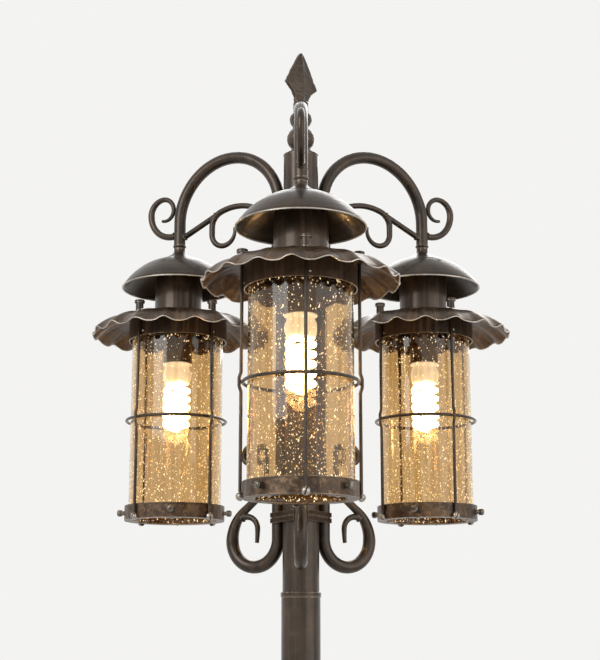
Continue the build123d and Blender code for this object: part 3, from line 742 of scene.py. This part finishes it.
def makeGlass(name, seed):
    shape = glassShape
    half = shape["wall"] / 2
    outer, inner = shape["outer"], shape["outer"] - shape["wall"]
    low, high = shape["bottom"] + half, shape["top"] - half
    climb = [(high - low) * index / shape["rows"] for index in range(shape["rows"] + 1)]
    rims = [pi * index / shape["rimRows"] for index in range(1, shape["rimRows"])]
    profile = [(outer, low + step) for step in climb]
    profile += [(outer - half + half * cos(turn), high + half * sin(turn)) for turn in rims]
    profile += [(inner, high - step) for step in climb]
    profile += [(inner + half - half * cos(turn), low - half * sin(turn)) for turn in rims]

    def ripple(angle, radius, height):
        reach = shape["around"]
        spot = Vector((cos(angle) * reach + seed, sin(angle) * reach,
                       height * shape["along"] + radius * shape["through"]))
        return shape["ripple"] * noise.noise(spot)

    return lathe(f"glassCylinder_{name}", profile, shape["steps"], True, ripple, lanternPlace(name))


# seeds: small drawn out bubbles within the wall; seedShape holds their node tree's inputs
seedShape = {"Count": 3200, "Radius": 0.0741, "Bottom": 0.004, "Top": 0.304, "Size": 0.00068, "Stretch": 1.9}
seedSpread = {"low": 1.25, "wall": 0.0006, "least": 0.45, "power": 2.2, "tilt": 0.75, "flat": 0.7}


def makeSeedTree():
    tree, sockets, start, end = newGeometryTree("glassSeeds", dict(seedShape, Seed=1, Material="Material"))
    plus, minus, times = mathOf(tree, "ADD", "SUBTRACT", "MULTIPLY")
    power, cosOf, sinOf = mathOf(tree, "POWER", "COSINE", "SINE")
    spot, spread = start.outputs, seedSpread

    def chance(low, high, offset):
        return addNode(tree, "FunctionNodeRandomValue", {2: low, 3: high, "Seed": plus(spot["Seed"], offset)},
                       data_type="FLOAT").outputs[1]

    points = addNode(tree, "GeometryNodePoints", {"Count": spot["Count"]})
    angle = chance(0.0, 2 * pi, 0)
    rise = power(chance(0.0, 1.0, 1), spread["low"])  # more of them low down
    height = plus(spot["Bottom"], times(rise, minus(spot["Top"], spot["Bottom"])))
    radius = plus(spot["Radius"], chance(-spread["wall"], spread["wall"], 2))
    where = combine(tree, times(radius, cosOf(angle)), times(radius, sinOf(angle)), height)
    move = addNode(tree, "GeometryNodeSetPosition", {"Geometry": points.outputs[0], "Position": where})
    ball = addNode(tree, "GeometryNodeMeshIcoSphere", {"Radius": 1.0, "Subdivisions": 1})
    width = times(spot["Size"], plus(spread["least"], power(chance(0.0, 1.0, 3), spread["power"])))
    length = times(width, times(spot["Stretch"], chance(0.5, 1.5, 4)))
    lean = combine(tree, chance(-spread["tilt"], spread["tilt"], 5), 0.0, angle)
    turn = addNode(tree, "FunctionNodeEulerToRotation", {0: lean})
    copies = addNode(tree, "GeometryNodeInstanceOnPoints", {
        "Points": move.outputs[0], "Instance": ball.outputs["Mesh"], "Rotation": turn.outputs[0],
        "Scale": combine(tree, times(width, spread["flat"]), width, length),
    })
    closeTree(tree, copies.outputs[0], spot["Material"], end)
    return tree, sockets


seedTree, seedSockets = makeSeedTree()
for name, lantern in lanterns.items():
    glass = makeGlass(name, lantern["seed"])
    dressLantern(name, "glassCylinder", glass, seededGlass, "seeded_glass", "glass")
    inputs = dict(seedShape, Seed=lantern["seed"], Material=seedBubblesPaintedGlint)
    seeds = grow(seedTree, seedSockets, inputs, f"glassSeeds_{name}", lanternPlace(name))
    dressLantern(name, "glassSeeds", seeds, seedBubblesPaintedGlint, "seeded_glass")
print("glass blown and seeded")


# compact fluorescent lamp: flanged housing and a double spiral tube
bulbShape = {
    "radius": 0.0176, "tube": 0.0051, "bottom": 0.1472, "top": 0.229, "turns": 2.6, "steps": 150,
    "start": 1.9, "flat": 0.05, "gap": 0.001, "bendSteps": 12, "bendAlong": 0.010, "bendIn": 0.0072,
    "bendUp": 0.0075, "end": 0.002, "housingTop": 0.2627,
    # the housing's profile, in radius and depth below its top
    "housing": ((0, 0), (0.0228, 0), (0.0237, 0.0005), (0.0240, 0.0013), (0.0237, 0.0023), (0.0222, 0.0028),
                (0.0202, 0.0031), (0.0197, 0.0042), (0.0203, 0.0062), (0.0216, 0.0092), (0.0228, 0.0130),
                (0.0236, 0.0170), (0.0237, 0.0205), (0.0233, 0.0245), (0.0224, 0.0280), (0.0216, 0.0305),
                (0.0209, 0.0330), (0.0190, 0.0348), (0.0120, 0.0352), (0, 0.0352)),
}


def makeSpiral(name):
    shape = bulbShape
    low = shape["bottom"] + shape["tube"]
    high = shape["top"] - shape["tube"] - shape["gap"]
    half = []
    for index in range(shape["steps"] + 1):
        share = index / shape["steps"]
        angle = share * shape["turns"] * 2 * pi
        radius = shape["radius"] * min(1.0, sin(min(angle / shape["start"], pi / 2)))
        height = low + (high - low) * max(0.0, share - shape["flat"]) / (1 - shape["flat"])
        half.append(Vector((radius * cos(angle), radius * sin(angle), height)))
    last = half[-1]
    inward = Vector((-last.x, -last.y, 0)).normalized()
    along = (half[-1] - half[-2]).normalized()
    for index in range(1, shape["bendSteps"] + 1):  # the tube bends up into the housing
        turn = index / shape["bendSteps"] * pi / 2
        up = 1 - cos(turn)
        half.append(last + along * shape["bendAlong"] * sin(turn) + inward * shape["bendIn"] * up
                    + Vector((0, 0, shape["bendUp"] * up)))
    half.append(half[-1] + Vector((0, 0, shape["end"])))
    other = [Vector((-point.x, -point.y, point.z)) for point in reversed(half[1:])]
    form = bmesh.new()
    tubeAlong(form, other + half, lambda share: shape["tube"], 16)
    return meshFrom(form, f"bulbSpiral_{name}", lanternPlace(name))


def makeHousing(name):
    profile = [(radius, bulbShape["housingTop"] - depth) for radius, depth in bulbShape["housing"]]
    return lathe(f"bulbHousing_{name}", profile, 72, False, None, lanternPlace(name))


for name in lanterns:
    dressLantern(name, "bulbSpiral", makeSpiral(name), lampGlass, "lamp_glass", "bulb_spiral")
    dressLantern(name, "bulbHousing", makeHousing(name), whitePlasticPaintedGlow, "white_plastic", "bulb_housing")
print("bulbs wound")


# finial: ball and bead under a hammered spear blade with cut edges
finialShape = {
    "foot": 2.388, "base": 0.681, "length": 0.090, "half": 0.0352, "ridge": 0.0062, "edge": 0.0026,
    "turn": 43, "steps": 64, "across": 10, "rows": 40, "hollow": 0.35, "dent": 0.00055, "softBelow": 0.598,
    "softDent": 0.35, "cells": 130, "lumps": 210,
    # along the blade: place, width and thickness as shares of its length, half width and ridge
    "blade": ((0, 0.38, 1.15), (0.10, 0.42, 1.1), (0.22, 0.60, 1.05), (0.345, 1, 1), (0.62, 0.64, 0.9),
              (0.84, 0.33, 0.8), (0.92, 0.215, 0.75), (0.965, 0.145, 0.7), (0.99, 0.075, 0.6),
              (1, 0.02, 0.45)),
    # the turned part under the blade, in radius and height above the foot
    "turned": ((0.0, 0.0004), (0.0250, 0.0004), (0.0286, 0.0006), (0.0291, 0.0014), (0.0284, 0.0024),
               (0.0215, 0.0072), (0.0120, 0.0086), (0.0104, 0.0100), (0.0112, 0.0118), (0.0160, 0.0146),
               (0.0205, 0.0196), (0.0227, 0.0250), (0.0232, 0.0300), (0.0227, 0.0350), (0.0205, 0.0405),
               (0.0165, 0.0455), (0.0137, 0.0490), (0.0140, 0.0525), (0.0168, 0.0566), (0.0186, 0.0615),
               (0.0188, 0.0652), (0.0178, 0.0697), (0.0155, 0.0738), (0.0134, 0.0765), (0.0128, 0.0800),
               (0.0129, 0.0930), (0.0118, 0.0955), (0.0, 0.0960)),
}


# sections between the named ones keep the blade's edges crisp
def bladeRows():
    table, rows = finialShape["blade"], []
    for first, second in zip(table, table[1:]):
        pieces = max(2, round((second[0] - first[0]) * finialShape["rows"]))
        for index in range(pieces):
            share = index / pieces
            rows.append([a + (b - a) * share for a, b in zip(first, second)])
    return rows + [list(table[-1])]


def makeBlade(form):
    shape = finialShape
    turn = Matrix.Rotation(radians(shape["turn"]), 3, "Z")
    rings, across = [], shape["across"]
    for along, wide, thick in bladeRows():
        half, ridge, edge = wide * shape["half"], thick * shape["ridge"], thick * shape["edge"]
        level = hang["height"] + shape["base"] + along * shape["length"]
        ring = []
        for side in (1, -1):
            for index in range(across + 1):
                share = 1 - 2 * index / across
                hollow = 1 - shape["hollow"] * sin(pi * abs(share))  # the faces are slightly hollow
                depth = edge + (ridge - edge) * (1 - abs(share)) * hollow
                flat = turn @ Vector((side * share * half, side * depth, 0))
                ring.append(form.verts.new(flat + Vector((0, 0, level))))
        rings.append(ring)
    ringsToFaces(form, rings)
    for ring in (rings[0], rings[-1]):
        form.faces.new(ring)


def makeFinial():
    shape = finialShape
    form = bmesh.new()
    profile = [(radius, shape["foot"] + height) for radius, height in shape["turned"]]
    ringsToFaces(form, turnedRings(form, profile, shape["steps"]))
    makeBlade(form)
    bmesh.ops.remove_doubles(form, verts=form.verts, dist=tiny)
    bmesh.ops.recalc_face_normals(form, faces=form.faces)
    bmesh.ops.subdivide_edges(form, edges=form.edges, cuts=1, use_grid_fill=True)
    form.normal_update()
    for vertex in form.verts:
        spot = vertex.co
        strength = shape["softDent"] if spot.z < hang["height"] + shape["softBelow"] else 1.0
        dents = noise.cell(spot * shape["cells"]) * 0.5 + noise.noise(spot * shape["lumps"]) * 0.8
        vertex.co = spot - vertex.normal * shape["dent"] * strength * max(0.0, dents + 0.4)
    mesh = bpy.data.meshes.new("spearFinial")
    form.to_mesh(mesh)
    form.free()
    return mesh


finishPiece(makeFinial(), "spearFinial", "head", hammeredBronze, ["finial"])
print("finial forged")


# screws: one slotted round head of radius 1, set out in circles by a node tree
headShape = {
    "across": (-1, -0.72, -0.4, 0, 0.4, 0.72, 1),
    "down": (-1, -0.78, -0.5, -0.21, -0.17, 0.17, 0.21, 0.5, 0.78, 1),
    "height": 0.62, "round": 0.86, "slotHalf": 0.2, "slotDepth": 0.26, "least": 0.05, "foot": -0.06,
}


def makeScrewHead():
    shape = headShape
    form = bmesh.new()
    grid = []
    for y in shape["down"]:
        row = []
        for x in shape["across"]:
            u, v = x * sqrt(1 - y * y / 2), y * sqrt(1 - x * x / 2)
            height = shape["height"] * sqrt(max(0.0, 1 - shape["round"] * (u * u + v * v)))
            if abs(y) < shape["slotHalf"]:
                height -= shape["slotDepth"]
            row.append(form.verts.new((u, v, max(height, shape["least"]))))
        grid.append(row)
    for low, high in zip(grid, grid[1:]):
        for index in range(len(low) - 1):
            form.faces.new((low[index], low[index + 1], high[index + 1], high[index]))
    edges = [edge for edge in form.edges if edge.is_boundary]
    skirt = bmesh.ops.extrude_edge_only(form, edges=edges)
    for item in skirt["geom"]:
        if isinstance(item, bmesh.types.BMVert):
            item.co.z = shape["foot"]
    loop = [edge for edge in form.edges if edge.is_boundary]
    bmesh.ops.contextual_create(form, geom=loop)
    bmesh.ops.recalc_face_normals(form, faces=form.faces)
    mesh = bpy.data.meshes.new("screwHead")
    form.to_mesh(mesh)
    form.free()
    return bpy.data.objects.new("screwHead", mesh)


screwSets = {  # inputs of the node tree: one circle of heads each
    "rodFeet": {"Count": 4, "Radius": 0.0832, "Height": 0.003, "Phase": 0.0, "Tilt": pi / 2, "Size": 0.0062},
    "tabScrews": {"Count": 4, "Radius": 0.066, "Height": -0.0001, "Phase": pi / 4, "Tilt": pi, "Size": 0.0030},
    "drumScrews": {"Count": 4, "Radius": 0.0820, "Height": 0.3075, "Phase": radians(4.4), "Tilt": pi / 2,
                   "Size": 0.0020},
}
deepHeads = {"rodFeet": 2.05}  # the feet of the rods have high round heads


def makeScrewTree():
    tree, sockets, start, end = newGeometryTree(
        "screwCircle", dict(screwSets["tabScrews"], Head="Object", Seed=1, Material="Material"))
    plus, times, over = mathOf(tree, "ADD", "MULTIPLY", "DIVIDE")
    cosOf, sinOf = mathOf(tree, "COSINE", "SINE")
    spot = start.outputs
    points = addNode(tree, "GeometryNodePoints", {"Count": spot["Count"]})
    index = addNode(tree, "GeometryNodeInputIndex").outputs[0]
    angle = plus(spot["Phase"], over(times(index, 2 * pi), spot["Count"]))
    where = combine(tree, times(spot["Radius"], cosOf(angle)), times(spot["Radius"], sinOf(angle)),
                    spot["Height"])
    move = addNode(tree, "GeometryNodeSetPosition", {"Geometry": points.outputs[0], "Position": where})
    head = addNode(tree, "GeometryNodeObjectInfo", {"Object": spot["Head"]})
    aim = addNode(tree, "FunctionNodeEulerToRotation", {0: combine(tree, 0.0, spot["Tilt"], angle)})
    chance = addNode(tree, "FunctionNodeRandomValue", {2: 0.0, 3: pi, "Seed": spot["Seed"]}, data_type="FLOAT")
    spin = addNode(tree, "FunctionNodeEulerToRotation", {0: combine(tree, 0.0, 0.0, chance.outputs[1])})
    both = addNode(tree, "FunctionNodeRotateRotation", {"Rotation": aim.outputs[0],
                                                        "Rotate By": spin.outputs[0]}, rotation_space="LOCAL")
    copies = addNode(tree, "GeometryNodeInstanceOnPoints", {
        "Points": move.outputs[0], "Instance": head.outputs["Geometry"], "Rotation": both.outputs[0],
        "Scale": combine(tree, spot["Size"], spot["Size"], spot["Size"]),
    })
    closeTree(tree, copies.outputs[0], spot["Material"], end)
    return tree, sockets


screwHead = makeScrewHead()
screwTree, screwSockets = makeScrewTree()
for name, lantern in lanterns.items():
    form = bmesh.new()
    for label, values in screwSets.items():
        inputs = dict(values, Head=screwHead, Seed=lantern["seed"], Material=brightSteel)
        before = len(form.verts)
        form.from_mesh(grow(screwTree, screwSockets, inputs, f"{label}_{name}"))
        form.verts.ensure_lookup_table()
        for vertex in form.verts[before:] if label in deepHeads else ():
            flat = vertex.co.to_2d()
            step = (flat.length - values["Radius"]) * (deepHeads[label] - 1)
            vertex.co.xy += flat.normalized() * step
    screws = meshFrom(form, f"lanternScrews_{name}", lanternPlace(name))
    dressLantern(name, "lanternScrews", screws, brightSteel, "bright_steel")
print("screws set")


# weld beads where bars meet, in the plane of an arm: at is x outwards and z above the lanterns' foot, heading
# is the bar's direction in degrees, bar and bead are radii
weldSpots = {
    "curlRoot": {"at": (0.2509, 0.488), "heading": 0, "bar": 0.0056, "bead": 0.0017},
    "strutRoot": {"at": (0.2292, 0.4842), "heading": 156, "bar": 0.0050, "bead": 0.0016},
    "strutEnd": {"at": (0.1660, 0.5122), "heading": 156, "bar": 0.0049, "bead": 0.0013},
    "braceRoot": {"at": (0.0512, 0.4830), "heading": 62, "bar": 0.0050, "bead": 0.0017},
    "tendrilRoot": {"at": (0.1075, -0.0010), "heading": 150, "bar": 0.0052, "bead": 0.0016},
}
weldShape = {"steps": 28, "sides": 8, "grain": 2.4, "rise": 0.12, "sway": 0.5, "lump": 0.30}
solderShape = {"out": 0.0847, "height": 0.165, "size": (0.0022, 0.0040, 0.0031), "lump": 0.22}


def weldRing(form, centre, heading, bar, bead, seed):
    shape = weldShape
    side = heading.orthogonal().normalized()
    up = heading.cross(side)
    points, sizes = [], []
    for index in range(shape["steps"] + 1):
        angle = 2 * pi * index / shape["steps"]
        out = side * cos(angle) + up * sin(angle)
        lump = noise.noise(out * shape["grain"] + Vector((seed, 0, 0)))
        points.append(centre + out * (bar + bead * shape["rise"]) + heading * lump * bead * shape["sway"])
        sizes.append(bead * (1 + shape["lump"] * lump))
    tubeAlong(form, points, lambda share: sizes[round(share * shape["steps"])], shape["sides"], closed=True)


def makeWelds(name):
    form = bmesh.new()
    for index, spot in enumerate(weldSpots.values()):
        angle = radians(spot["heading"])
        centre = Vector((spot["at"][0], 0, spot["at"][1]))
        heading = Vector((cos(angle), 0, sin(angle)))
        weldRing(form, centre, heading, spot["bar"], spot["bead"], index * 3.7)
    return meshFrom(form, f"weldBeads_{name}", armPlace(name))


# solder where the hoop touches its four rods
def makeSolder(name):
    shape = solderShape
    form = bmesh.new()
    for index in range(4):
        angle = pi / 2 * index
        axes = (Vector((cos(angle), sin(angle), 0)), Vector((-sin(angle), cos(angle), 0)), Vector((0, 0, 1)))
        centre = axes[0] * shape["out"] + axes[2] * shape["height"]
        blob = bmesh.ops.create_icosphere(form, subdivisions=3, radius=1.0)
        for vertex in blob["verts"]:
            spot = vertex.co.copy()
            lump = 1 + shape["lump"] * noise.noise(spot * 1.7 + Vector((index * 5.1, 0, 0)))
            steps = [axis * part * size * lump for axis, part, size in zip(axes, spot, shape["size"])]
            vertex.co = centre + steps[0] + steps[1] + steps[2]
    return meshFrom(form, f"hoopSolder_{name}", lanternPlace(name))


for name in lanterns:
    finishPiece(makeWelds(name), f"weldBeads_{name}", "head", forgedBronze)
    dressLantern(name, "hoopSolder", makeSolder(name), darkBronze, "dark_bronze")
print("welds and solder laid")


print("pieces ready")
